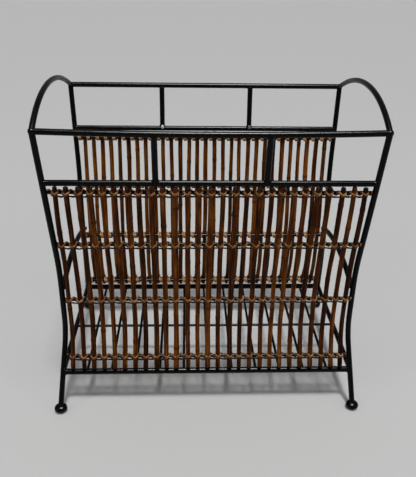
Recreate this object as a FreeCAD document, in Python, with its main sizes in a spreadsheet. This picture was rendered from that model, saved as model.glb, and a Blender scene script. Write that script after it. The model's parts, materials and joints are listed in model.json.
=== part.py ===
import FreeCAD, Part
import math
import os
from FreeCAD import Placement, Rotation, Vector

# Newspaper rack: a welded frame of round rods, waisted between top and feet, with panels of
# rattan sticks tied to thin binding rods on the front and back and a wire grid as its base.
# X runs from the left end to the right end, Y from front to back, Z up from the floor.
# The origin is on the floor, in the middle of the footprint.

SHEET = "Dimensions"

# A leg's centre-line turns at the levels foot, knee, hip, shoulder and top. Each level has a
# height above the floor, and its distance from the middle of the rack in depth and in width.
DIMENSIONS = [
    ("foot_height", 6.0, "centre of the ball foot"),
    ("foot_depth", 133.1, "foot to the middle, front to back"),
    ("foot_width", 207.6, "foot to the middle, left to right"),
    ("knee_height", 109.0, "lower bend of the leg"),
    ("knee_depth", 92.6, ""),
    ("knee_width", 198.3, ""),
    ("hip_height", 205.0, "bend above the waist"),
    ("hip_depth", 92.6, ""),
    ("hip_width", 197.8, ""),
    ("shoulder_height", 275.0, "slight bend below the second rail"),
    ("shoulder_depth", 107.3, ""),
    ("shoulder_width", 199.0, ""),
    ("top_height", 403.0, "centre-line of the top rails"),
    ("top_depth", 124.5, ""),
    ("top_width", 204.0, ""),
    ("knee_bend", 120.0, "bend radii of the leg's centre-line"),
    ("hip_bend", 240.0, ""),
    ("shoulder_bend", 500.0, ""),
    ("handle_rise", 31.5, "handle's crown above the top rails"),
    ("handle_haunch_depth", 85.0, "points on the handle's flanks, from the middle"),
    ("front_haunch_rise", 20.5, "the fuller front flank there, above the top rails"),
    ("back_haunch_rise", 15.1, "the leaner back flank there"),
    ("side_arch_height", 178.5, "ends of the side arch"),
    ("side_arch_rise", 14.5, "crown of the side arch above its ends"),
    ("side_arch_inset", 2.4, "side arch inside the leg's centre-line"),
    ("front_second_rail_height", 337.8, ""),
    ("back_second_rail_height", 339.0, ""),
    ("top_rail_sag", 3.0, "how far the front top rail hangs in its middle"),
    ("bottom_rail_height", 54.3, ""),
    ("front_binding_height_one", 323.9, "binding rods, from the top down"),
    ("front_binding_height_two", 248.3, ""),
    ("front_binding_height_three", 159.9, ""),
    ("front_binding_height_four", 74.0, ""),
    ("back_binding_height_one", 325.2, ""),
    ("back_binding_height_two", 250.0, ""),
    ("back_binding_height_three", 165.9, ""),
    ("back_binding_height_four", 72.8, ""),
    ("upright_spacing", 134.0, "between the two uprights of a long side"),
    ("leg_diameter", 7.5, ""),
    ("handle_diameter", 7.0, ""),
    ("weld_diameter", 8.6, "bead where a handle meets its leg"),
    ("rail_diameter", 7.5, ""),
    ("bottom_rail_diameter", 8.5, ""),
    ("bottom_rail_setback", 1.8, "bottom rail's ends inside the leg's centre-line"),
    ("binding_diameter", 4.8, ""),
    ("wire_diameter", 4.0, ""),
    ("wire_lift", 1.0, "front-to-back wires above the centre of the bottom rails"),
    ("wire_count", 11, "front-to-back wires of the base"),
    ("wire_bite", 0.3, "how far a wire is welded into what it crosses"),
    ("foot_diameter", 17.6, ""),
    ("foot_thickness", 11.8, "height of the ball foot"),
    ("foot_flat_depth", 0.5, "cut off the ball as a flat underside"),
    ("stick_diameter", 6.7, ""),
    ("stick_top", 333.6, "upper ends of the sticks"),
    ("stick_bottom", 61.8, "lower ends of the sticks"),
    ("stick_gap", 0.1, "between a stick and the binding rods"),
    ("stick_outset", 5.6, "stick's centre-line outside the leg's, up to the shoulder"),
    ("stick_top_outset", 2.2, "and at the stick's upper end"),
    ("front_stick_count", 27, ""),
    ("front_stick_span", 376.0, "first stick to last stick"),
    ("back_stick_count", 29, ""),
    ("back_stick_span", 376.0, ""),
    ("strap_width", 2.4, "rattan strap that ties a stick"),
    ("strap_thickness", 0.9, ""),
    ("strap_clearance", 0.05, ""),
]

LEVELS = ["foot", "knee", "hip", "shoulder", "top"]
BINDING_ROWS = ["one", "two", "three", "four"]
SIDES = {"left": -1, "right": 1}
FACES = {"front": -1, "back": 1}

doc = FreeCAD.newDocument("newspaper_rack")
sheet = doc.addObject("Spreadsheet::Sheet", SHEET)
pieces = []


def fill_sheet():
    for row, (alias, value, note) in enumerate(DIMENSIONS, start=1):
        sheet.set(f"A{row}", alias)
        sheet.set(f"B{row}", str(value))
        sheet.set(f"C{row}", note)
        sheet.setAlias(f"B{row}", alias)
    doc.recompute()


def cell(alias):
    """The number in a cell."""
    return float(sheet.get(alias))


def ref(alias):
    """The cell's name as an expression writes it."""
    return f"{SHEET}.{alias}"


def keep(piece, node):
    """Names a finished sub-part."""
    piece.Label = node
    pieces.append(piece)
    return piece


def cope(piece, *neighbours):
    """Shapes a piece's ends to the neighbours that it is welded to."""
    for neighbour in neighbours:
        cut = doc.addObject("Part::Cut", "Coped")
        cut.Base = piece
        cut.Tool = neighbour
        piece = cut
    return piece


# ---- the leg's centre-line -------------------------------------------------------------------

def leg_corners():
    """(width, depth, height) of the corners of a leg's centre-line, from the foot up."""
    return [Vector(cell(f"{level}_width"), cell(f"{level}_depth"), cell(f"{level}_height"))
            for level in LEVELS]


def stretch(height_alias):
    """The two neighbouring levels that a height lies between."""
    height = cell(height_alias)
    for lower, upper in zip(LEVELS, LEVELS[1:]):
        if height <= cell(f"{upper}_height"):
            return lower, upper
    return LEVELS[-2], LEVELS[-1]


def lean(direction, height_alias):
    """Expression for the leg's outward lean per unit of height, in depth or width."""
    lower, upper = stretch(height_alias)
    spread = f"({ref(f'{upper}_{direction}')} - {ref(f'{lower}_{direction}')})"
    return f"({spread} / ({ref(f'{upper}_height')} - {ref(f'{lower}_height')}))"


def on_leg(direction, height_alias):
    """Expression for the leg's distance from the middle, in depth or width, at a height."""
    lower, _ = stretch(height_alias)
    climb = f"({ref(height_alias)} - {ref(f'{lower}_height')})"
    return f"({ref(f'{lower}_{direction}')} + {lean(direction, height_alias)} * {climb})"


def rounded_path(corners, radii):
    """Straight runs through the corners, joined by tangent arcs of the given radii."""
    edges = []
    start = corners[0]
    for before, corner, after, radius in zip(corners, corners[1:], corners[2:], radii):
        incoming = (corner - before).normalize()
        outgoing = (after - corner).normalize()
        half_turn = incoming.getAngle(outgoing) / 2
        setback = radius * math.tan(half_turn)
        inward = (outgoing - incoming).normalize()
        arc_start = corner - incoming * setback
        arc_end = corner + outgoing * setback
        arc_middle = corner + inward * (radius / math.cos(half_turn) - radius)
        edges.append(Part.LineSegment(start, arc_start).toShape())
        edges.append(Part.Arc(arc_start, arc_middle, arc_end).toShape())
        start = arc_end
    edges.append(Part.LineSegment(start, corners[-1]).toShape())
    return Part.Wire(edges)


def bend_radii():
    return [cell("knee_bend"), cell("hip_bend"), cell("shoulder_bend")]


def secant(height_alias):
    """Expression for the length of the leg's side profile per unit of height."""
    slope = lean("depth", height_alias)
    return f"sqrt(1 + {slope} * {slope})"


# ---- rods ------------------------------------------------------------------------------------

def swept_rod(path, diameter_alias):
    """A round rod along a wire."""
    spine = doc.addObject("Part::Feature", "CentreLine")
    spine.Shape = path
    first = path.OrderedEdges[0]
    section = doc.addObject("Part::Circle", "Section")
    section.setExpression("Radius", f"{ref(diameter_alias)} / 2")
    tangent = first.tangentAt(first.FirstParameter)
    start = first.valueAt(first.FirstParameter)
    section.Placement = Placement(start, Rotation(Vector(0, 0, 1), tangent))
    rod = doc.addObject("Part::Sweep", "BentRod")
    rod.Sections = [section]
    rod.Spine = (spine, [f"Edge{n + 1}" for n in range(len(path.Edges))])
    rod.Solid = True
    return rod


def straight_rod(direction, length, diameter_alias, base):
    """A round rod along a direction; its length and the three base values are expressions."""
    rod = doc.addObject("Part::Cylinder", "StraightRod")
    rod.setExpression("Radius", f"{ref(diameter_alias)} / 2")
    rod.setExpression("Height", length)
    rod.Placement = Placement(Vector(), Rotation(Vector(0, 0, 1), direction))
    for axis, value in zip("xyz", base):
        rod.setExpression(f".Placement.Base.{axis}", value)
    return rod


def cross_rod(height_alias, sign, diameter_alias, inset="0", setback="0"):
    """A rod along X between the two legs of a long side, at a height."""
    half_length = f"({on_leg('width', height_alias)} - {setback})"
    depth = f"{sign} * ({on_leg('depth', height_alias)} - {inset})"
    base = (f"-{half_length}", depth, ref(height_alias))
    return straight_rod(Vector(1, 0, 0), f"2 * {half_length}", diameter_alias, base)


# ---- frame -----------------------------------------------------------------------------------

def make_handle(side):
    """The arched rod over one end, with a weld bead at each of its ends."""
    width = SIDES[side] * cell("top_width")
    depth, height, rise = cell("top_depth"), cell("top_height"), cell("handle_rise")
    haunch = cell("handle_haunch_depth")
    arch = Part.BSplineCurve()
    arch.interpolate([Vector(width, -depth, height),
                      Vector(width, -haunch, height + cell("front_haunch_rise")),
                      Vector(width, 0, height + rise),
                      Vector(width, haunch, height + cell("back_haunch_rise")),
                      Vector(width, depth, height)])
    parts = [swept_rod(Part.Wire(arch.toShape()), "handle_diameter")]
    for sign in FACES.values():
        bead = doc.addObject("Part::Sphere", "WeldBead")
        bead.setExpression("Radius", f"{ref('weld_diameter')} / 2")
        bead.setExpression(".Placement.Base.x", f"{SIDES[side]} * {ref('top_width')}")
        bead.setExpression(".Placement.Base.y", f"{sign} * {ref('top_depth')}")
        bead.setExpression(".Placement.Base.z", ref("top_height"))
        parts.append(bead)
    handle = doc.addObject("Part::MultiFuse", "Handle")
    handle.Shapes = parts
    return keep(handle, f"{side}_handle")


def make_foot(face, side):
    """A flattened ball, cut flat underneath, that the leg is welded into."""
    ball = doc.addObject("Part::Ellipsoid", "Ball")
    ball.setExpression("Radius1", f"{ref('foot_thickness')} / 2")
    ball.setExpression("Radius2", f"{ref('foot_diameter')} / 2")
    ball.setExpression("Radius3", f"{ref('foot_diameter')} / 2")
    across = f"{SIDES[side]} * {ref('foot_width')}"
    along = f"{FACES[face]} * {ref('foot_depth')}"
    ball.setExpression(".Placement.Base.x", across)
    ball.setExpression(".Placement.Base.y", along)
    ball.setExpression(".Placement.Base.z",
                       f"{ref('foot_thickness')} / 2 - {ref('foot_flat_depth')}")
    floor_block = doc.addObject("Part::Box", "FloorBlock")
    for size in ("Length", "Width", "Height"):
        floor_block.setExpression(size, ref("foot_diameter"))
    floor_block.setExpression(".Placement.Base.x", f"{across} - {ref('foot_diameter')} / 2")
    floor_block.setExpression(".Placement.Base.y", f"{along} - {ref('foot_diameter')} / 2")
    floor_block.setExpression(".Placement.Base.z", f"-{ref('foot_diameter')}")
    return keep(cope(ball, floor_block), f"{face}_{side}_foot")


def make_leg(face, side, foot, handle):
    corners = [Vector(SIDES[side] * corner.x, FACES[face] * corner.y, corner.z)
               for corner in leg_corners()]
    rod = swept_rod(rounded_path(corners, bend_radii()), "leg_diameter")
    return keep(cope(rod, foot, handle), f"{face}_{side}_leg")


def make_top_rail(face, neighbours):
    """The rod between the two handles' ends; the front one hangs a little."""
    if face == "back":
        return keep(cope(cross_rod("top_height", FACES[face], "rail_diameter"), *neighbours),
                    "back_top_rail")
    width, depth, height = cell("top_width"), cell("top_depth"), cell("top_height")
    droop = Part.BSplineCurve()
    droop.interpolate([Vector(-width, -depth, height),
                       Vector(0, -depth, height - cell("top_rail_sag")),
                       Vector(width, -depth, height)])
    rod = swept_rod(Part.Wire(droop.toShape()), "rail_diameter")
    return keep(cope(rod, *neighbours), "front_top_rail")


def make_second_rail(face, neighbours):
    rod = cross_rod(f"{face}_second_rail_height", FACES[face], "rail_diameter")
    return keep(cope(rod, *neighbours), f"{face}_second_rail")


def make_bottom_rail(face, neighbours):
    rod = cross_rod("bottom_rail_height", FACES[face], "bottom_rail_diameter",
                    setback=ref("bottom_rail_setback"))
    return keep(cope(rod, *neighbours), f"{face}_bottom_rail")


def make_upright(face, side, top_rail, second_rail):
    """A short rod from the second rail to the top rail."""
    sign = FACES[face]
    width = f"{SIDES[side]} * {ref('upright_spacing')} / 2"
    foot_alias = f"{face}_second_rail_height"
    low_depth = on_leg("depth", foot_alias)
    place = f"({ref('upright_spacing')} / 2 / {ref('top_width')})"
    drop = f"{ref('top_rail_sag')} * (1 - {place} * {place})" if face == "front" else "0"
    climb = f"({ref('top_height')} - {drop} - {ref(foot_alias)})"
    slope = (cell("top_depth") - cell("shoulder_depth"))
    slope /= cell("top_height") - cell("shoulder_height")
    base = (width, f"{sign} * {low_depth}", ref(foot_alias))
    length = f"{climb} * {secant(foot_alias)}"
    rod = straight_rod(Vector(0, sign * slope, 1), length, "rail_diameter", base)
    return keep(cope(rod, top_rail, second_rail), f"{face}_{side}_upright")


def make_side_arch(side, front_leg, back_leg):
    """The bowed rod half-way up one end, welded to the inner sides of its two legs."""
    height, rise = cell("side_arch_height"), cell("side_arch_rise")
    width = SIDES[side] * (cell("hip_width") - cell("side_arch_inset"))
    depth = cell("hip_depth")
    arc = Part.Arc(Vector(width, -depth, height), Vector(width, 0, height + rise),
                   Vector(width, depth, height))
    rod = swept_rod(Part.Wire(arc.toShape()), "rail_diameter")
    return keep(cope(rod, front_leg, back_leg), f"{side}_side_arch")


def make_end_rail(side, *neighbours):
    """The straight rod low on one end, from the front leg to the back leg."""
    half_length = on_leg("depth", "bottom_rail_height")
    base = (f"{SIDES[side]} * {on_leg('width', 'bottom_rail_height')}", f"-{half_length}",
            ref("bottom_rail_height"))
    rod = straight_rod(Vector(0, 1, 0), f"2 * {half_length}", "rail_diameter", base)
    return keep(cope(rod, *neighbours), f"{side}_end_rail")


def outset(height_alias):
    """Expression for how far a stick's centre-line is outside the leg's at a height."""
    top, shoulder = ref("stick_top"), ref("shoulder_height")
    if cell(height_alias) <= cell("shoulder_height"):
        return ref("stick_outset")
    share = f"({ref(height_alias)} - {shoulder}) / ({top} - {shoulder})"
    return (f"({ref('stick_outset')} + ({ref('stick_top_outset')} - {ref('stick_outset')})"
            f" * {share})")


def make_binding_rod(face, row, left_leg, right_leg):
    """A thin rod inside the sticks, which are tied to it."""
    height = f"{face}_binding_height_{row}"
    reach = (f"({ref('stick_diameter')} / 2 + {ref('binding_diameter')} / 2"
             f" + {ref('stick_gap')}) * {secant(height)}")
    rod = cross_rod(height, FACES[face], "binding_diameter", f"({reach} - {outset(height)})")
    return keep(cope(rod, left_leg, right_leg), f"{face}_binding_rod_{row}")


# ---- base grid -------------------------------------------------------------------------------

def wire_height():
    """Expression for the centre of the wires that run between the two bottom rails."""
    return f"({ref('bottom_rail_height')} + {ref('wire_lift')})"


def make_base_wire(number, front_rail, back_rail):
    """A front-to-back wire between the two bottom rails."""
    half_length = on_leg("depth", "bottom_rail_height")
    half_width = on_leg("width", "bottom_rail_height")
    place = f"(2 * {number} / ({ref('wire_count')} + 1) - 1)"
    base = (f"{half_width} * {place}", f"-{half_length}", wire_height())
    rod = straight_rod(Vector(0, 1, 0), f"2 * {half_length}", "wire_diameter", base)
    return keep(cope(rod, front_rail, back_rail), f"base_wire_{number}")


def make_cross_wire(left_rail, right_rail, wires):
    """The wire under the others, from end rail to end rail."""
    half_width = on_leg("width", "bottom_rail_height")
    height = f"{wire_height()} - {ref('wire_diameter')} + {ref('wire_bite')}"
    rod = straight_rod(Vector(1, 0, 0), f"2 * {half_width}", "wire_diameter",
                       (f"-{half_width}", "0", height))
    return keep(cope(rod, left_rail, right_rail, *wires), "base_cross_wire")


# ---- rattan ----------------------------------------------------------------------------------

def depth_at(height):
    """The leg's distance from the middle in depth, along its straight runs."""
    corners = leg_corners()
    for lower, upper in zip(corners, corners[1:]):
        if height <= upper.z:
            share = (height - lower.z) / (upper.z - lower.z)
            return lower.y + (upper.y - lower.y) * share
    return corners[-1].y


def stick_depth(height):
    """A stick's distance from the middle in depth: the leg's, and the outset."""
    low_outset, high_outset = cell("stick_outset"), cell("stick_top_outset")
    shoulder = cell("shoulder_height")
    share = max(0, (height - shoulder) / (cell("stick_top") - shoulder))
    return depth_at(height) + low_outset + (high_outset - low_outset) * share


def stick_path(sign, width):
    """A stick's centre-line, which follows the leg's side profile."""
    low, high = cell("stick_bottom"), cell("stick_top")
    heights = [low] + [corner.z for corner in leg_corners()[1:-1]] + [high]
    corners = [Vector(width, sign * stick_depth(height), height) for height in heights]
    return rounded_path(corners, bend_radii())


def make_stick_group(face, name, first, last):
    """Neighbouring sticks of one panel, numbered from the left."""
    count, span = cell(f"{face}_stick_count"), cell(f"{face}_stick_span")
    sticks = []
    for number in range(first, last):
        width = span * (number / (count - 1) - 0.5)
        sticks.append(swept_rod(stick_path(FACES[face], width), "stick_diameter"))
    group = doc.addObject("Part::Compound", "SticksGroup")
    group.Links = sticks
    return keep(group, f"{face}_sticks_{name}")


def make_lashing(face, row):
    """The straps of one row: half a ring over the outer side of each stick."""
    sign = FACES[face]
    height = cell(f"{face}_binding_height_{row}")
    width = cell("strap_width")
    above, below = (stick_depth(height + way * width / 2) for way in (1, -1))
    along_stick = Vector(0, sign * (above - below), width).normalize()
    depth = sign * stick_depth(height)
    inner = cell("stick_diameter") / 2 + cell("strap_clearance")
    outer = inner + cell("strap_thickness")
    half_space = Vector(3 * outer, 2 * outer, 2 * width)
    count, span = int(cell(f"{face}_stick_count")), cell(f"{face}_stick_span")
    straps = []
    for number in range(count):
        centre = Vector(span * (number / (count - 1) - 0.5), depth, height)
        foot = centre - along_stick * (width / 2)
        ring = Part.makeCylinder(outer, width, foot, along_stick)
        ring = ring.cut(Part.makeCylinder(inner, width, foot, along_stick))
        outward = Part.makeBox(*half_space)
        inner_side = 0 if sign > 0 else -half_space.y
        outward.translate(centre + Vector(-half_space.x / 2, inner_side, -width))
        straps.append(ring.common(outward))
    lashing = doc.addObject("Part::Feature", "Lashing")
    lashing.Shape = Part.makeCompound(straps)
    return keep(lashing, f"{face}_lashing_{row}")


# ---- assembly --------------------------------------------------------------------------------

def build_frame():
    handles = {side: make_handle(side) for side in SIDES}
    legs = {}
    for face in FACES:
        for side in SIDES:
            foot = make_foot(face, side)
            legs[face, side] = make_leg(face, side, foot, handles[side])
    bottom_rails = {}
    for face in FACES:
        pair = [legs[face, side] for side in SIDES]
        top = make_top_rail(face, [*handles.values(), *pair])
        second = make_second_rail(face, pair)
        bottom_rails[face] = make_bottom_rail(face, pair)
        for side in SIDES:
            make_upright(face, side, top, second)
        for row in BINDING_ROWS:
            make_binding_rod(face, row, *pair)
    end_rails = []
    for side in SIDES:
        pair = [legs[face, side] for face in FACES]
        make_side_arch(side, *pair)
        end_rails.append(make_end_rail(side, *pair, *bottom_rails.values()))
    wires = [make_base_wire(number, bottom_rails["front"], bottom_rails["back"])
             for number in range(1, int(cell("wire_count")) + 1)]
    make_cross_wire(*end_rails, wires)


def build_panels():
    for face in FACES:
        count = int(cell(f"{face}_stick_count"))
        first_third, second_third = round(count / 3), round(2 * count / 3)
        make_stick_group(face, "left", 0, first_third)
        make_stick_group(face, "middle", first_third, second_third)
        make_stick_group(face, "right", second_third, count)
        for row in BINDING_ROWS:
            make_lashing(face, row)


def check_document():
    doc.recompute()
    for item in doc.Objects:
        if "Invalid" in item.State or "Error" in item.State:
            raise RuntimeError(f"{item.Label} failed: {item.State}")
    for piece in pieces:
        if piece.Shape.isNull() or not piece.Shape.isValid() or not piece.Shape.Solids:
            raise RuntimeError(f"{piece.Label} has no valid solid")


def export_parts():
    os.makedirs("parts", exist_ok=True)
    for piece in pieces:
        piece.Shape.exportStep(f"parts/{piece.Label}.step")
        print(piece.Label, len(piece.Shape.Solids), round(piece.Shape.Volume, 1))


fill_sheet()
build_frame()
build_panels()
check_document()
export_parts()
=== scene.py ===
import json
import math

import bpy
import numpy as np
from mathutils import Matrix, Vector


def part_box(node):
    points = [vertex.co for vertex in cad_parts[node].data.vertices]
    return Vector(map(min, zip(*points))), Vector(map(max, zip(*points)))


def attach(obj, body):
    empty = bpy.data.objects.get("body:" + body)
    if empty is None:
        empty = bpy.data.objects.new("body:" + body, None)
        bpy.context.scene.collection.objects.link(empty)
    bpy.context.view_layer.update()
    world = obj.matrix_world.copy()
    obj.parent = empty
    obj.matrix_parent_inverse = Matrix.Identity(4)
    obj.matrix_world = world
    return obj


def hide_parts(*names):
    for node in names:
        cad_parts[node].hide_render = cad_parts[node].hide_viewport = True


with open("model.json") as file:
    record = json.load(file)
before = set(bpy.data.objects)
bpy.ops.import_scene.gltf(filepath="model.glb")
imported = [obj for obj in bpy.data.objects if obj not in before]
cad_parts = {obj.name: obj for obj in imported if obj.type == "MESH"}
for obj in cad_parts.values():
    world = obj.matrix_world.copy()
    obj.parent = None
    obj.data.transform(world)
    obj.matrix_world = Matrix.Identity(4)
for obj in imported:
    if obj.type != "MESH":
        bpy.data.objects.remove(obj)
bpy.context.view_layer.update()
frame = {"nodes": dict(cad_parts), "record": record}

# The looks of the newspaper rack: black painted rods with weld fillets, rattan sticks that each
# have their own thickness, wobble, joints and colour, and the crossed rattan strips that tie
# them to the binding rods; light and shade are also painted into the rattan's colour.
# Lengths are metres; X is left to right, Y front to back, Z up.

MM = 0.001
FACES = {"front": -1, "back": 1}
SIDES = {"left": -1, "right": 1}
GROUPS = ["left", "middle", "right"]
ROWS = ["one", "two", "three", "four"]
RODS = [node["node"] for node in frame["record"]["subparts"]
        if node["material_slot"] == "black_paint"]
STICK_COUNT = {"front": 27, "back": 29}


def corners(node):
    """A CAD node's lowest and highest corners as arrays."""
    low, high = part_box(node)
    return np.array(low), np.array(high)


def middle(node):
    low, high = corners(node)
    return (low + high) / 2


def half_height(node):
    """The radius of a rod that lies level."""
    low, high = corners(node)
    return (high[2] - low[2]) / 2


def link(thing):
    bpy.context.scene.collection.objects.link(thing)
    return thing


# ---- materials -------------------------------------------------------------------------------

class Shading:
    """A node material with a Principled shader, and short calls that add nodes to it."""

    def __init__(self, name):
        self.material = bpy.data.materials.new(name)
        self.material.use_nodes = True
        self.tree = self.material.node_tree
        self.shader = self.tree.nodes["Principled BSDF"]

    def add(self, kind, **inputs):
        node = self.tree.nodes.new(kind)
        for name, value in inputs.items():
            self.feed(node.inputs[name.replace("_", " ")], value)
        return node

    def feed(self, socket, value):
        """Links a socket to another node's output, or sets its own value."""
        if isinstance(value, bpy.types.NodeSocket):
            self.tree.links.new(value, socket)
        else:
            socket.default_value = value

    def set(self, **inputs):
        for name, value in inputs.items():
            self.feed(self.shader.inputs[name.replace("_", " ")], value)

    def attribute(self, name):
        node = self.add("ShaderNodeAttribute")
        node.attribute_name = name
        return node.outputs["Vector"]

    def facts(self, name):
        """The three numbers of a mesh attribute."""
        node = self.add("ShaderNodeSeparateXYZ", Vector=self.attribute(name))
        return [node.outputs[axis] for axis in "XYZ"]

    def noise(self, vector, scale, detail=3.0, roughness=0.5):
        node = self.add("ShaderNodeTexNoise", Vector=vector, Scale=scale, Detail=detail,
                        Roughness=roughness)
        return node.outputs["Factor"] if "Factor" in node.outputs else node.outputs["Fac"]

    def stretched(self, vector, scale):
        """A coordinate scaled by a different number along each axis."""
        node = self.add("ShaderNodeVectorMath", Vector=vector)
        node.operation = "MULTIPLY"
        node.inputs[1].default_value = scale
        return node.outputs["Vector"]

    def remap(self, value, low, high, to_low=0.0, to_high=1.0):
        node = self.add("ShaderNodeMapRange", Value=value)
        for key, number in zip(("From Min", "From Max", "To Min", "To Max"),
                               (low, high, to_low, to_high)):
            node.inputs[key].default_value = number
        return node.outputs["Result"]

    def mix(self, factor, first, second, blend="MIX"):
        node = self.tree.nodes.new("ShaderNodeMix")
        node.data_type = "RGBA"
        node.blend_type = blend
        self.feed(node.inputs[0], factor)
        self.feed(node.inputs[6], first)
        self.feed(node.inputs[7], second)
        return node.outputs[2]

    def math(self, operation, first, second):
        node = self.tree.nodes.new("ShaderNodeMath")
        node.operation = operation
        self.feed(node.inputs[0], first)
        self.feed(node.inputs[1], second)
        return node.outputs[0]

    def ramp(self, value, stops):
        """Colours at positions from 0 to 1."""
        node = self.add("ShaderNodeValToRGB", Fac=value)
        elements = node.color_ramp.elements
        while len(elements) < len(stops):
            elements.new(0.5)
        for element, (position, colour) in zip(elements, stops):
            element.position = position
            element.color = (*colour, 1)
        return node.outputs["Color"]

    def bump(self, height, distance, strength=1.0, normal=None):
        node = self.add("ShaderNodeBump", Height=height, Distance=distance, Strength=strength)
        if normal is not None:
            self.feed(node.inputs["Normal"], normal)
        return node.outputs["Normal"]


def black_paint():
    """Satin black paint on steel rod: slightly lumpy, with duller and dustier patches."""
    look = Shading("black_paint")
    place = look.add("ShaderNodeTexCoord").outputs["Object"]
    patches = look.noise(place, 45.0, detail=4.0)
    grain = look.noise(place, 900.0, detail=2.0)
    dust = look.remap(look.noise(place, 210.0, detail=5.0, roughness=0.65), 0.55, 0.75)
    colour = look.mix(patches, (0.0003, 0.0003, 0.0004, 1), (0.001, 0.0011, 0.0012, 1))
    colour = look.mix(look.math("MULTIPLY", dust, 0.12), colour, (0.022, 0.021, 0.02, 1))
    # A near-white patch on the weld spatter, as far as its fact asks.
    pale_patch = look.facts("weld_facts")[0]
    colour = look.mix(pale_patch, colour, (0.85, 0.88, 0.9, 1))
    roughness = look.remap(patches, 0.3, 0.7, 0.2, 0.3)
    lumps = look.bump(look.noise(place, 130.0, detail=3.0), 0.15 * MM, 0.25)
    look.set(Base_Color=colour, Roughness=roughness,
             Normal=look.bump(grain, 0.03 * MM, 0.2, lumps))
    look.set(Specular_IOR_Level=0.1)
    return look.material


def rattan():
    """Stained, lacquered rattan: long fibres, dark joints, tone per stick, painted light and
    shade.
    """
    look = Shading("rattan_stick")
    # The first fact is each stick's own tone, with painted light in it (a lighter back panel) and
    # painted shade at its ends.
    tone_and_painted_light, joint, cut = look.facts("stick_facts")
    grain = look.attribute("grain")
    fibres = look.noise(look.stretched(grain, (1.0, 1.0, 0.035)), 2600.0, detail=3.0)
    streaks = look.noise(look.stretched(grain, (1.0, 1.0, 0.05)), 520.0, detail=4.0)
    blotches = look.noise(look.stretched(grain, (1.0, 1.0, 0.35)), 70.0, detail=4.0)
    tone = look.math("ADD", tone_and_painted_light, look.remap(blotches, 0.3, 0.7, -0.2, 0.2))
    tone = look.math("ADD", tone, look.remap(streaks, 0.3, 0.7, -0.3, 0.3))
    tone = look.math("ADD", tone, look.remap(fibres, 0.3, 0.7, -0.12, 0.12))
    colour = look.ramp(tone, [(0.0, (0.008, 0.0014, 0.0001)), (0.3, (0.028, 0.0062, 0.0003)),
                              (0.6, (0.082, 0.0195, 0.0007)), (1.0, (0.22, 0.066, 0.004))])
    colour = look.mix(look.math("MULTIPLY", joint, 0.75), colour, (0.018, 0.006, 0.002, 1))
    # The cut ends' pith: its own dark colour, made darker still as painted shade.
    pith_with_painted_shade = look.mix(look.remap(look.noise(grain, 2400.0), 0.4, 0.65),
                    (0.012, 0.004, 0.001, 1), (0.05, 0.02, 0.006, 1))
    colour = look.mix(cut, colour, pith_with_painted_shade)
    height = look.math("ADD", look.math("MULTIPLY", fibres, 0.4), streaks)
    look.set(Base_Color=colour, Roughness=look.remap(blotches, 0.3, 0.7, 0.33, 0.5),
             Normal=look.bump(height, 0.12 * MM, 0.6))
    look.set(Specular_IOR_Level=0.05)
    return look.material


def rattan_strip():
    """Split rattan bark: golden brown and glossy, fine fibres along it, painted light and shade.
    """
    look = Shading("rattan_strip")
    # The first fact is the strip's own tone plus painted light and shade; the second marks its
    # edges.
    tone_and_painted_light, painted_shade_edge, _ = look.facts("strip_facts")
    grain = look.attribute("grain")
    fibres = look.noise(look.stretched(grain, (1.0, 1.0, 0.06)), 3000.0, detail=3.0)
    patches = look.noise(grain, 160.0, detail=3.0)
    tone = look.math("ADD", tone_and_painted_light, look.remap(fibres, 0.3, 0.7, -0.18, 0.18))
    tone = look.math("ADD", tone, look.remap(patches, 0.3, 0.7, -0.2, 0.2))
    colour = look.ramp(tone, [(0.0, (0.010, 0.0025, 0.0004)), (0.45, (0.13, 0.045, 0.006)),
                              (0.75, (0.25, 0.1, 0.02)), (1.0, (0.48, 0.25, 0.1))])
    # Painted shade along both edges of each strip.
    colour = look.mix(look.math("MULTIPLY", painted_shade_edge, 0.55), colour, (0.05, 0.018, 0.006, 1))
    look.set(Base_Color=colour, Roughness=look.remap(patches, 0.3, 0.7, 0.3, 0.48),
             Normal=look.bump(fibres, 0.08 * MM, 0.6))
    look.set(Specular_IOR_Level=0.15)
    return look.material


# ---- meshes ----------------------------------------------------------------------------------

class Shape:
    """Points, faces and per-point facts of one piece, gathered from several parts."""

    def __init__(self):
        self.points, self.faces, self.facts, self.grain = [], [], [], []
        self.count = 0

    def add(self, points, faces, facts, grain):
        self.faces += [[self.count + corner for corner in face] for face in faces]
        self.points.append(points)
        self.facts.append(facts)
        self.grain.append(grain)
        self.count += len(points)

    def build(self, name, material, facts_name):
        mesh = bpy.data.meshes.new(name)
        mesh.from_pydata(np.concatenate(self.points).tolist(), [], self.faces)
        mesh.polygons.foreach_set("use_smooth", [True] * len(mesh.polygons))
        for key, values in ((facts_name, self.facts), ("grain", self.grain)):
            layer = mesh.attributes.new(key, "FLOAT_VECTOR", "POINT")
            layer.data.foreach_set("vector", np.concatenate(values).astype(np.float32).ravel())
        mesh.materials.append(material)
        piece = link(bpy.data.objects.new(name, mesh))
        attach(piece, "root")
        return piece


def tangents(path):
    steps = np.gradient(path, axis=0)
    return steps / np.linalg.norm(steps, axis=1, keepdims=True)


def unit(vectors):
    return vectors / np.linalg.norm(vectors, axis=-1, keepdims=True)


def ring_faces(rings, sides):
    """Quads between neighbouring rings of points."""
    return [[ring * sides + side, ring * sides + (side + 1) % sides,
             (ring + 1) * sides + (side + 1) % sides, (ring + 1) * sides + side]
            for ring in range(rings - 1) for side in range(sides)]


def end_caps(rings, sides):
    """One many-sided face over the first ring and one over the last."""
    last = (rings - 1) * sides
    return [list(range(sides))[::-1], [last + side for side in range(sides)]]


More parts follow.
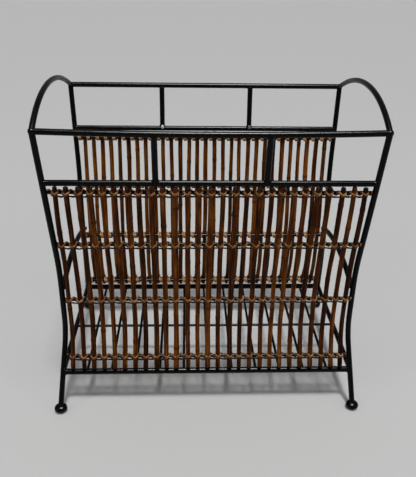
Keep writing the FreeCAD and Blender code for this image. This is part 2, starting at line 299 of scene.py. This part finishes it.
def smooth_curve(points, steps):
    """A Catmull-Rom curve through the rows of an array, with a number of steps to each span."""
    padded = np.concatenate([[2 * points[0] - points[1]], points, [2 * points[-1] - points[-2]]])
    share = np.linspace(0, 1, steps, endpoint=False)[:, None]
    spans = []
    for before, start, end, after in zip(padded, padded[1:], padded[2:], padded[3:]):
        spans.append(0.5 * (2 * start + (end - before) * share
                            + (2 * before - 5 * start + 4 * end - after) * share ** 2
                            + (3 * start - before - 3 * end + after) * share ** 3))
    return np.concatenate([*spans, points[-1:]])


# ---- rattan sticks ---------------------------------------------------------------------------

STICK_SIDES = 14
RING_SPACING = 3.5 * MM
CAD_RADIUS = 3.35 * MM
RADIUS_MM = {"mean": 3.3, "spread": 0.22, "least": 2.8, "most": 3.75}
# Mean tone per panel; the back panel's higher mean is painted light on the inner side it shows.
MEAN_TONE_AND_PAINTED_LIGHT = {"front": 0.46, "back": 0.61}
SHADE_SPREAD = 0.11
# Painted shade at both ends of each stick, standing in for the shadow under the rails.
END_PAINTED_SHADE_REACH = 5 * MM
END_PAINTED_SHADE = 0.3
STICK_END_CLEARANCE = 0.5 * MM
CAP_BULGE = 0.3 * MM
RIM = 0.35 * MM
JOINT_OFFSETS_MM = (-2.6, -1.6, -0.9, 0.0, 0.9, 1.6, 2.6)


def side_profile(node):
    """Heights and depths of the centre-line of the sticks in a CAD node."""
    mesh = frame["nodes"][node].data
    points = np.empty(len(mesh.vertices) * 3)
    mesh.vertices.foreach_get("co", points)
    ends = np.empty(len(mesh.edges) * 2, dtype=int)
    mesh.edges.foreach_get("vertices", ends)
    start, end = points.reshape(-1, 3)[ends.reshape(-1, 2)].transpose(1, 0, 2)
    low, high = corners(node)
    heights = np.linspace(low[2] + 3 * MM, high[2] - 3 * MM, 60)
    depths = []
    for height in heights:
        crossing = (start[:, 2] - height) * (end[:, 2] - height) < 0
        share = (height - start[crossing, 2]) / (end[crossing, 2] - start[crossing, 2])
        depth = start[crossing, 1] + share * (end[crossing, 1] - start[crossing, 1])
        depths.append((depth.min() + depth.max()) / 2)
    return heights, np.array(depths)


class Stick:
    """One rattan stick: where it stands, how thick it is and how it wanders."""

    def __init__(self, face, number, profile, random):
        first = corners(f"{face}_sticks_left")[0][0] + CAD_RADIUS
        last = corners(f"{face}_sticks_right")[1][0] - CAD_RADIUS
        share = number / (STICK_COUNT[face] - 1)
        self.sign = FACES[face]
        radius = random.normal(RADIUS_MM["mean"], RADIUS_MM["spread"])
        self.radius = float(np.clip(radius, RADIUS_MM["least"], RADIUS_MM["most"])) * MM
        self.width = first + (last - first) * share + random.uniform(-0.9, 0.9) * MM
        self.lean = random.uniform(-1.0, 1.0) * MM
        self.bow = random.uniform(-0.7, 0.7) * MM
        self.phase = random.uniform(0, 2 * math.pi)
        # Each stick's own random tone round its panel's mean, and that mean holds painted light.
        self.tone_and_painted_light = float(np.clip(random.normal(MEAN_TONE_AND_PAINTED_LIGHT[face], SHADE_SPREAD), 0.12, 0.85))
        self.heights, self.depths = profile
        low, high = corners(f"{face}_sticks_left")
        self.bottom = low[2] + 0.6 * MM + random.uniform(-0.7, 0.7) * MM
        self.top = high[2] - STICK_END_CLEARANCE - random.uniform(0.0, 0.8) * MM
        spacing = random.uniform(75, 150) * MM
        start = random.uniform(0, spacing)
        self.joints = np.arange(self.bottom + start, self.top, spacing)

    def centre(self, height):
        """The centre-line's point at a height; the stick rests on the binding rods."""
        height = np.asarray(height, dtype=float)
        share = (height - self.bottom) / (self.top - self.bottom)
        slope = np.polyfit(self.heights[-4:], self.depths[-4:], 1)
        foot = np.polyfit(self.heights[:4], self.depths[:4], 1)
        depth = np.interp(height, self.heights, self.depths)
        depth = np.where(height > self.heights[-1], np.polyval(slope, height), depth)
        depth = np.where(height < self.heights[0], np.polyval(foot, height), depth)
        depth = depth + self.sign * (self.radius - CAD_RADIUS)
        width = (self.width + self.lean * (share - 0.5) + self.bow * np.sin(math.pi * share)
                 + 0.25 * MM * np.sin(5 * math.pi * share + self.phase))
        return np.stack([width, depth, height], axis=-1)

    def radii(self, heights, angles):
        """Thickness round and along the stick, with a swelling and a groove at each joint."""
        radius = np.full_like(heights, self.radius)
        radius *= 1 + 0.04 * np.sin(heights * 37 + self.phase)
        for joint in self.joints:
            away = (heights - joint) / (2.2 * MM)
            radius += self.radius * (0.16 * np.exp(-away ** 2) - 0.10 * np.exp(-(away * 3) ** 2))
        oval = 1 + 0.035 * np.cos(2 * angles + self.phase) + 0.02 * np.cos(3 * angles)
        return radius[:, None] * oval[None, :]

    def ring_heights(self):
        even = np.arange(self.bottom, self.top, RING_SPACING)
        near = [joint + offset * MM for joint in self.joints for offset in JOINT_OFFSETS_MM]
        return np.unique(np.clip(np.concatenate([even, near, [self.top]]), self.bottom, self.top))

    def add_to(self, shape):
        heights = self.ring_heights()
        path = self.centre(heights)
        along = tangents(path)
        across = unit(np.array([1.0, 0, 0]) - along * along[:, :1])
        outward = np.cross(along, across)
        angles = np.linspace(0, 2 * math.pi, STICK_SIDES, endpoint=False)
        radii = self.radii(heights, angles)
        radii[0] -= RIM
        radii[-1] -= RIM
        circle = (np.cos(angles)[None, :, None] * across[:, None, :]
                  + np.sin(angles)[None, :, None] * outward[:, None, :])
        points = (path[:, None, :] + circle * radii[:, :, None]).reshape(-1, 3)
        rings, sides = len(heights), STICK_SIDES
        faces = ring_faces(rings, sides)
        joint = np.zeros(rings)
        for place in self.joints:
            joint = np.maximum(joint, np.exp(-((heights - place) / (1.5 * MM)) ** 2))
        facts = np.zeros((rings, sides, 3))
        # Darker towards both ends of the stick: painted shade.
        to_end = np.minimum(heights - self.bottom, self.top - heights)
        painted_end_shade = END_PAINTED_SHADE * np.exp(-(to_end / END_PAINTED_SHADE_REACH) ** 2)
        facts[:, :, 0] = self.tone_and_painted_light - painted_end_shade[:, None]
        facts[:, :, 1] = joint[:, None]
        grain = np.stack([radii * np.cos(angles) + self.phase, radii * np.sin(angles),
                          np.broadcast_to(heights[:, None], radii.shape) + self.phase], axis=2)
        caps, cap_facts, cap_grain = [], [], []
        for ring, push in ((0, -CAP_BULGE), (rings - 1, CAP_BULGE)):
            inner = path[ring] + circle[ring] * radii[ring][:, None] * 0.82 + along[ring] * push
            caps += [inner, (path[ring] + along[ring] * push)[None, :]]
            cap_facts += [np.tile([self.tone_and_painted_light, 0, 1.0], (sides + 1, 1))]
            cap_grain += [np.concatenate([inner, path[ring][None, :]]) + self.phase]
        first = rings * sides
        for ring, start, flip in ((0, first, True), (rings - 1, first + sides + 1, False)):
            for side in range(sides):
                after = (side + 1) % sides
                outer = [ring * sides + side, ring * sides + after, start + after, start + side]
                centre = [start + side, start + after, start + sides]
                faces += [outer[::-1], centre[::-1]] if flip else [outer, centre]
        shape.add(np.concatenate([points, *caps]), faces,
                  np.concatenate([facts.reshape(-1, 3), *cap_facts]),
                  np.concatenate([grain.reshape(-1, 3), *cap_grain]))


def make_sticks(face, random):
    profile = side_profile(f"{face}_sticks_left")
    return [Stick(face, number, profile, random) for number in range(STICK_COUNT[face])]


def build_sticks(face, sticks, material):
    """One piece to a stick; each stands for its share of a third of the panel."""
    for number, stick in enumerate(sticks):
        group = next(name for name in GROUPS
                     if stick.width < corners(f"{face}_sticks_{name}")[1][0] + 2 * CAD_RADIUS)
        shape = Shape()
        stick.add_to(shape)
        piece = shape.build(f"{face}_stick_{number + 1:02d}", material, "stick_facts")
        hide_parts(f"{face}_sticks_{group}")


# ---- lashings --------------------------------------------------------------------------------

STRIP_HALF_WIDTH = 1.25 * MM
STRIP_HALF_THICKNESS = 0.27 * MM
STRIP_STEPS = 4
PATCH_RINGS = 24
TURNS = {"front": 1, "back": 2}
HITCH_HALF_LENGTH = 2.6 * MM
BRIDGE_DROP = 3.2 * MM
ROW_END_GAP = 6.5 * MM
ROW_RISE = {"one": 0.8 * MM, "two": 1.9 * MM, "three": 1.9 * MM, "four": 1.9 * MM}


class Row:
    """One binding rod with its sticks, in a frame of its own.

    Places are (x, out, up): out points away from the rack's inside and up runs beside the
    sticks, half as steeply inclined as they are. The rod's centre-line is at out 0, up 0.
    """

    def __init__(self, face, row, sticks):
        low, high = corners(f"{face}_binding_rod_{row}")
        self.origin, self.rod_radius = (low + high) / 2, (high[2] - low[2]) / 2
        self.rise = ROW_RISE[row]
        self.turns = TURNS[face]
        step = 4 * MM
        above, below = (sticks[0].centre(self.origin[2] + way * step) for way in (1, -1))
        slope = 0.5 * (above[1] - below[1]) / (2 * step)
        self.up = unit(np.array([0.0, slope, 1.0]))
        self.out = FACES[face] * unit(np.array([0.0, 1.0, -slope]))
        places = np.array([stick.centre(self.origin[2]) for stick in sticks])
        self.x = places[:, 0]
        self.stick_out = (places - self.origin) @ self.out
        self.radius = np.array([stick.radius for stick in sticks])
        ends = [self.x[0] - ROW_END_GAP, self.x[-1] + ROW_END_GAP]
        self.gaps = np.concatenate([ends[:1], (self.x[1:] + self.x[:-1]) / 2, ends[1:]])

    def to_world(self, local, is_place=True):
        turned = (local[:, :1] * np.array([1.0, 0, 0]) + local[:, 1:2] * self.out
                  + local[:, 2:] * self.up)
        return turned + self.origin * np.array([0, 1, 1]) if is_place else turned


def hitch(row, gap, random):
    """A strip's turns round the rod between two sticks: each over, down behind, under and up.

    Each knot of a strip's route: a place, the way its flat side faces, painted light and shade.
    """
    centre = row.gaps[gap] + random.uniform(-0.5, 0.5) * MM
    hug = row.rod_radius + STRIP_HALF_THICKNESS
    half = HITCH_HALF_LENGTH / row.turns
    knots = []
    for turn in range(row.turns):
        x = centre + (2 * turn + 1 - row.turns) * half
        # Painted light and shade: knots on top of the rod lighter, those under and below it
        # darker.
        knots += [((x - 1.27 * half, 0.5 * hug, 1.4 * hug), (0, 0.45, 0.9), 0.2),
                  ((x - half, -0.8 * hug, 1.15 * hug), (0, -0.6, 0.8), 0.5),
                  ((x - 0.08 * half, -1.4 * hug, -0.3 * hug), (0, -1, 0.25), 0.25),
                  ((x + 0.85 * half, -0.6 * hug, -1.5 * hug), (0, -0.4, -1), -0.1),
                  ((x + 0.88 * half, 1.1 * hug, -0.6 * hug), (0, 1, -0.3), -0.3),
                  ((x + half, 1.3 * hug, 1.3 * hug), (0, 0.7, 0.7), 0.2)]
    return knots


def crossing(row, number, rising, random):
    """A strip's way across the outer side of a stick, from left to right.

    It comes from the top of the rod and leaves low for the next stick, or rises the other way
    and lies on top of the strip that falls.
    """
    x, radius = row.x[number], row.radius[number]
    lift = (STRIP_HALF_THICKNESS + 0.05 * MM) * (3.2 if rising else 1.0)
    front = row.stick_out[number] + radius + lift
    level = row.rise + random.uniform(-0.35, 0.35) * MM
    # Painted light and shade: lighter high on the stick, much darker where the strip runs low.
    high = ((1.0 * radius, front - 0.66 * radius, level + 1.9 * MM), (0.55, 0.6, 0.6), 0.15)
    top = ((0.45 * radius, front - 0.12 * radius, level + 1.0 * MM), (0.3, 0.8, 0.5), 0.1)
    apex = ((0, front, level), (0, 0.9, 0.3), 0.05)
    low = ((0.9 * radius, front - 0.45 * radius, level - 2.3 * MM), (0.4, 0.85, -0.1), -0.6)
    before, after = ((low,), (top, high)) if rising else ((high, top), (low,))
    knots = [((x - place[0], *place[1:]), (-way[0], *way[1:]), painted_light_tint)
             for place, way, painted_light_tint in before]
    knots += [((x + place[0], *place[1:]), way, painted_light_tint) for place, way, painted_light_tint in (apex, *after)]
    return knots


def bridge(row, gap, random):
    """The low stretch of a strip from one stick to the next, painted dark as shade."""
    front = row.stick_out[gap] + 0.45 * row.radius[gap] + STRIP_HALF_THICKNESS
    level = row.rise - BRIDGE_DROP + random.uniform(-0.35, 0.35) * MM
    return [((row.gaps[gap], front, level), (0, 1, -0.1), -0.9)]


def strand(row, phase, random):
    """A strip's route along a row: it ties itself to the rod in every second gap."""
    knots = [] if phase else hitch(row, 0, random)
    if phase:
        # The strand's first knot starts under the rod, painted darker as shade.
        knots = [((row.gaps[0], row.rod_radius, -row.rod_radius), (0, 0.7, -0.7), -0.3)]
    for number in range(len(row.x)):
        rising = (number + phase) % 2 == 1
        knots += crossing(row, number, rising, random)
        if number + 1 < len(row.x) or rising:
            knots += hitch(row, number + 1, random) if rising else bridge(row, number + 1, random)
    places, ways, painted_light_tints = zip(*knots)
    return np.array(places), unit(np.array(ways, dtype=float)), np.array(painted_light_tints)


def add_strip(shape, row, places, ways, painted_light_tints, random):
    """A flat strip along a route."""
    path = row.to_world(smooth_curve(places, STRIP_STEPS))
    facing = row.to_world(unit(smooth_curve(ways, STRIP_STEPS)), is_place=False)
    along = tangents(path)
    facing = unit(facing - along * np.sum(facing * along, axis=1, keepdims=True))
    across = np.cross(along, facing)
    section = strip_section()
    rings, sides = len(path), len(section)
    counter = np.arange(rings)
    width = 1 + 0.13 * np.sin(counter * 0.7 + random.uniform(0, 6))
    points = (path[:, None, :] + across[:, None, :] * section[None, :, :1] * width[:, None, None]
              + facing[:, None, :] * section[None, :, 1:])
    length = np.concatenate([[0], np.cumsum(np.linalg.norm(np.diff(path, axis=0), axis=1))])
    facts = np.zeros((rings, sides, 3))
    # The strip's own tone in patches, plus the knots' painted light and shade.
    patches = np.arange(0, rings + PATCH_RINGS, PATCH_RINGS)
    tone_and_painted_light = np.interp(counter, patches, random.uniform(0.4, 0.75, len(patches)))
    tone_and_painted_light += np.interp(counter, np.arange(len(painted_light_tints)) * STRIP_STEPS, painted_light_tints)
    facts[:, :, 0] = tone_and_painted_light[:, None]
    # The second fact marks the strip's edges, which get painted shade.
    facts[:, :, 1] = np.abs(section[:, 0]) > 0.8 * STRIP_HALF_WIDTH
    grain = np.zeros((rings, sides, 3))
    grain[:, :, :2] = section
    grain[:, :, 2] = length[:, None]
    faces = ring_faces(rings, sides) + end_caps(rings, sides)
    shape.add(points.reshape(-1, 3), faces, facts.reshape(-1, 3), grain.reshape(-1, 3))


def strip_section():
    """Sideways and outward places round a strip's slightly crowned section."""
    wide, thick = STRIP_HALF_WIDTH, STRIP_HALF_THICKNESS
    return np.array([(-wide, -0.5 * thick), (-0.6 * wide, -thick), (0.6 * wide, -thick),
                     (wide, -0.5 * thick), (wide, 0.4 * thick), (0.6 * wide, thick),
                     (0, 1.3 * thick), (-0.6 * wide, thick), (-wide, 0.4 * thick)])


def build_lashing(face, name, sticks, material, random):
    """Two strips that cross on the outer side of every stick."""
    row = Row(face, name, sticks)
    shape = Shape()
    for phase in (0, 1):
        add_strip(shape, row, *strand(row, phase, random), random)
    piece = shape.build(f"{face}_lashing_strips_{name}", material, "strip_facts")
    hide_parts(f"{face}_lashing_{name}")


# ---- weld fillets ----------------------------------------------------------------------------

WELD_SIDES = 20
WELD_RINGS = 8
SPATTER_SIDES = 12
SPATTER_RINGS = 7
# How near-white each back upright's spatter lump is coloured, left and right.
PALE_PATCH = {"left": 0.8, "right": 0.2}


def add_weld(shape, surface, direction, other, rod_radius, size, random):
    """A fillet where a rod meets another: a collar that runs out along the rod.

    surface is the point where the rod's centre-line meets the other rod, direction points
    away from it along the rod, and other is the way the other rod runs, along which the
    fillet spreads.
    """
    direction, other = unit(np.array(direction, dtype=float)), unit(np.array(other, dtype=float))
    across = unit(np.cross(direction, other))
    along = np.cross(across, direction)
    steps = np.linspace(0, 1, WELD_RINGS)
    angles = np.linspace(0, 2 * math.pi, WELD_SIDES, endpoint=False)
    lumps = 1 + 0.14 * np.sin(3 * angles + random.uniform(0, 6)) + 0.1 * np.sin(
        5 * angles + random.uniform(0, 6))
    reach = 0.12 + 0.88 * np.sin(angles) ** 2
    distance = size * (1.3 * steps - 0.45)
    flare = size * (1 - steps) ** 2
    radius = rod_radius * 1.005 + flare[:, None] * (lumps * reach)[None, :]
    radius[-1] = rod_radius * 0.97
    circle = np.cos(angles)[:, None] * across + np.sin(angles)[:, None] * along
    points = (np.asarray(surface) + direction * distance[:, None])[:, None, :] + (
        circle[None] * radius[:, :, None])
    faces = ring_faces(WELD_RINGS, WELD_SIDES) + end_caps(WELD_RINGS, WELD_SIDES)
    flat = points.reshape(-1, 3)
    shape.add(flat, faces, np.zeros_like(flat), flat)


def add_spatter(shape, place, half_size, pale_patch, random):
    """A lump of weld spatter, coloured near-white to a degree from 0 to 1."""
    turns = np.linspace(0, 2 * math.pi, SPATTER_SIDES, endpoint=False)
    climbs = np.linspace(-0.45 * math.pi, 0.45 * math.pi, SPATTER_RINGS)
    lumps = 1 + random.uniform(-0.16, 0.16, (SPATTER_RINGS, SPATTER_SIDES))
    rings = np.stack([np.cos(climbs)[:, None] * np.cos(turns) * lumps,
                      np.cos(climbs)[:, None] * np.sin(turns) * lumps,
                      np.broadcast_to(np.sin(climbs)[:, None], lumps.shape)], axis=2)
    points = (np.asarray(place) + rings * np.asarray(half_size)).reshape(-1, 3)
    faces = ring_faces(SPATTER_RINGS, SPATTER_SIDES) + end_caps(SPATTER_RINGS, SPATTER_SIDES)
    facts = np.zeros_like(points)
    facts[:, 0] = pale_patch
    shape.add(points, faces, facts, points)


def weld_both_ends(shape, node, axis, other, radius, size, bury, random):
    """Fillets at the two ends of a straight rod that lies along an axis."""
    low, high = corners(node)
    centre = (low + high) / 2
    centre[2] = high[2] - radius
    for end, way in ((low[axis], 1), (high[axis], -1)):
        place = centre.copy()
        place[axis] = end + way * bury
        direction = np.zeros(3)
        direction[axis] = way
        add_weld(shape, place, direction, other, radius, size, random)


def build_welds(material, random):
    """Fillets at the ends of rails, uprights, binding rods and the cross wire, and spatter lumps.
    """
    rail, heavy = half_height("front_second_rail"), half_height("front_bottom_rail")
    thin, wire = half_height("front_binding_rod_one"), half_height("base_cross_wire")
    leg_way, bury = (0, 0, 1), 2.0 * MM
    shape = Shape()
    for face in FACES:
        for name, radius in (("second_rail", rail), ("bottom_rail", heavy)):
            weld_both_ends(shape, f"{face}_{name}", 0, leg_way, radius, 2.8 * MM, bury, random)
        for row in ROWS:
            weld_both_ends(shape, f"{face}_binding_rod_{row}", 0, leg_way, thin, 1.8 * MM,
                           0.6 * MM, random)
        for side in SIDES:
            foot, head = middle(f"{face}_second_rail"), middle(f"{face}_top_rail")
            foot[0] = head[0] = middle(f"{face}_{side}_upright")[0]
            head[2] = corners(f"{face}_{side}_upright")[1][2]
            climb = unit(head - foot)
            for place, way in ((foot, climb), (head, -climb)):
                add_weld(shape, place + way * rail, way, (1, 0, 0), rail, 2.4 * MM, random)
            if face == "back":
                lump = foot + np.array([0.4 * MM, -1.05 * rail, 0.85 * rail])
                add_spatter(shape, lump, (2.6 * MM, 1.5 * MM, 3.1 * MM), PALE_PATCH[side], random)
    for side in SIDES:
        weld_both_ends(shape, f"{side}_end_rail", 1, leg_way, rail, 2.4 * MM, bury, random)
    weld_both_ends(shape, "base_cross_wire", 0, (0, 1, 0), wire, 1.4 * MM, 0.8 * MM, random)
    shape.build("weld_fillets", material, "weld_facts")


# ---- stage -----------------------------------------------------------------------------------

FLOOR_HALF_SIZE = 9.0
CAMERA_PLACE = (-0.0296, -0.7718, 0.5921)
CAMERA_ANGLES = (-2.322, 90 - 26.56, 0.98)


def plain_material(name, colour, roughness):
    look = Shading(name)
    look.set(Base_Color=(*colour, 1), Roughness=roughness)
    look.set(Specular_IOR_Level=0.2)
    return look.material


def build_stage():
    """A plain pale floor."""
    mesh = bpy.data.meshes.new("floor")
    size = FLOOR_HALF_SIZE
    mesh.from_pydata([(-size, -size, 0), (size, -size, 0), (size, size, 0), (-size, size, 0)], [],
                     [(0, 1, 2, 3)])
    mesh.materials.append(plain_material("floor", (0.62, 0.62, 0.61), 0.75))
    floor = link(bpy.data.objects.new("floor", mesh))


def aim(lamp, place, target):
    """Turns a lamp to shine from a place towards a target."""
    lamp.rotation_euler = (Vector(target) - Vector(place)).to_track_quat("-Z", "Y").to_euler()


def area_light(name, place, target, size, power):
    light = bpy.data.lights.new(name, "AREA")
    light.shape = "RECTANGLE"
    light.size, light.size_y = size
    light.energy = power
    lamp = link(bpy.data.objects.new(name, light))
    lamp.location = place
    aim(lamp, place, target)
    return lamp


def build_lights():
    """Soft overhead light, two weak fills, and a light seen only in reflections."""
    world = bpy.data.worlds.new("studio")
    world.use_nodes = True
    background = world.node_tree.nodes["Background"]
    background.inputs["Color"].default_value = (0.95, 0.97, 1.0, 1)
    background.inputs["Strength"].default_value = 0.24
    bpy.context.scene.world = world
    key = bpy.data.lights.new("overhead", "SUN")
    key.energy = 1.8
    key.angle = math.radians(10)
    aim(link(bpy.data.objects.new("overhead", key)), (0.05, -0.27, 1.0), (0, 0, 0))
    for side, sign in SIDES.items():
        area_light(f"{side}_fill", (sign * 1.7, -1.0, 1.4), (0, 0, 0.2), (0.4, 0.4), 3)
    gloss = area_light("gloss", (0.1, -0.45, 1.7), (0, 0, 0.3), (0.7, 0.35), 70)
    gloss.visible_diffuse = False
    gloss.visible_camera = False
    bpy.context.scene.view_settings.view_transform = "Standard"


def build_camera():
    """The viewpoint of the photograph: in front, a little left of the middle, looking down."""
    camera = bpy.data.cameras.new("camera")
    camera.sensor_width = 36.0
    camera.lens = 44.15
    viewer = link(bpy.data.objects.new("camera", camera))
    heading, tilt, roll = (math.radians(angle) for angle in CAMERA_ANGLES)
    turn = (Matrix.Rotation(heading, 4, "Z") @ Matrix.Rotation(tilt, 4, "X")
            @ Matrix.Rotation(roll, 4, "Z"))
    viewer.matrix_world = Matrix.Translation(Vector(CAMERA_PLACE)) @ turn
    bpy.context.scene.camera = viewer


# ---- assembly --------------------------------------------------------------------------------

STICK_SEED = 40
WELD_SEED = 7

paint = black_paint()
for rod in RODS:
    for material_slot in frame["nodes"][rod].material_slots:
        material_slot.material = paint

stick_material, strip_material = rattan(), rattan_strip()
for seed, face in enumerate(FACES):
    random = np.random.default_rng(STICK_SEED + seed)
    panel = make_sticks(face, random)
    build_sticks(face, panel, stick_material)
    for row in ROWS:
        build_lashing(face, row, panel, strip_material, random)
build_welds(paint, np.random.default_rng(WELD_SEED))

build_stage()
build_lights()
build_camera()
